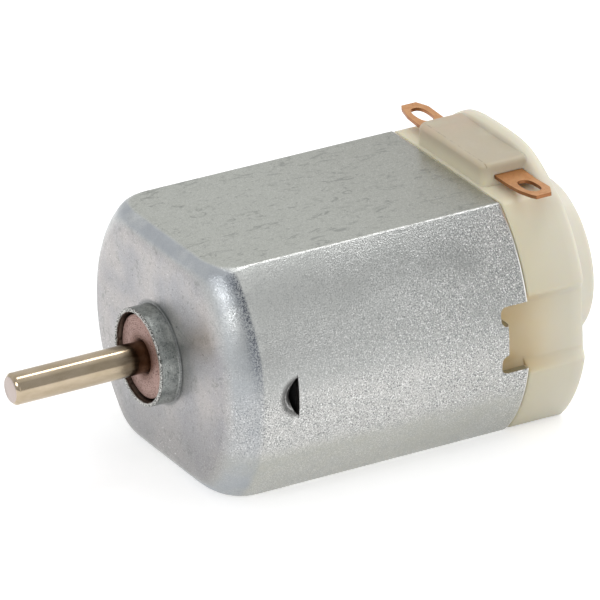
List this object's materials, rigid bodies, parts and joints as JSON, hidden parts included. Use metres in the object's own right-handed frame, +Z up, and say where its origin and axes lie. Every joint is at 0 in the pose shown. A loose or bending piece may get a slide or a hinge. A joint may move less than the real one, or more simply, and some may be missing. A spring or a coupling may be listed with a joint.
{
  "type": "small brushed dc motor",
  "caption": "Flat-sided steel can motor with a plain shaft, a nylon end cap and copper strip terminals with eyes for wires.",
  "frame": {"origin": "middle of the footprint, on the lower flat of the can that the motor rests on; the shaft axis is 7.55 mm above it", "axes": "+Z up, from the lower flat to the upper one, the side with the terminals; the shaft lies along Y and its output end points to -Y"},
  "size_m": [0.02, 0.038, 0.017],
  "materials": {
    "zinc_plated_steel": "satin zinc plate with a fine grain",
    "ground_steel": "ground and polished",
    "sintered_bronze": "porous, oiled",
    "ferrite": "dull sintered ceramic",
    "spring_steel": "drawn wire",
    "core_steel": "stamped sheet",
    "enamelled_wire": "enamelled copper wire",
    "copper_strip": "bright rolled strip",
    "natural_nylon": "translucent moulding",
    "insulation": "moulded",
    "washer_fibre": "pressed fibre"
  },
  "bodies": {
    "stator": {"can": "zinc_plated_steel", "front_bearing": "sintered_bronze", "magnet_left": "ferrite", "magnet_right": "ferrite", "magnet_clip": "spring_steel", "end_cap": "natural_nylon", "rear_bearing": "sintered_bronze", "terminal_left": "copper_strip", "terminal_right": "copper_strip", "brush_left": "copper_strip", "brush_right": "copper_strip"},
    "rotor": {"shaft": "ground_steel", "lamination_01": "core_steel", "lamination_02": "core_steel", "lamination_03": "core_steel", "lamination_04": "core_steel", "lamination_05": "core_steel", "lamination_06": "core_steel", "lamination_07": "core_steel", "lamination_08": "core_steel", "lamination_09": "core_steel", "lamination_10": "core_steel", "lamination_11": "core_steel", "lamination_12": "core_steel", "lamination_13": "core_steel", "lamination_14": "core_steel", "lamination_15": "core_steel", "lamination_16": "core_steel", "front_insulator": "insulation", "rear_insulator": "insulation", "coil_1": "enamelled_wire", "coil_2": "enamelled_wire", "coil_3": "enamelled_wire", "commutator_hub": "insulation", "commutator_segment_1": "copper_strip", "commutator_segment_2": "copper_strip", "commutator_segment_3": "copper_strip", "commutator_ring": "washer_fibre", "front_washer": "washer_fibre", "front_spacer": "insulation", "rear_washer": "washer_fibre"}
  },
  "joints": [
    {"name": "rotor_spin", "type": "hinge", "parent": "stator", "child": "rotor", "pos_m": [0, 0, 0.00755], "axis": [0, -1, 0], "continuous": true}
  ]
}
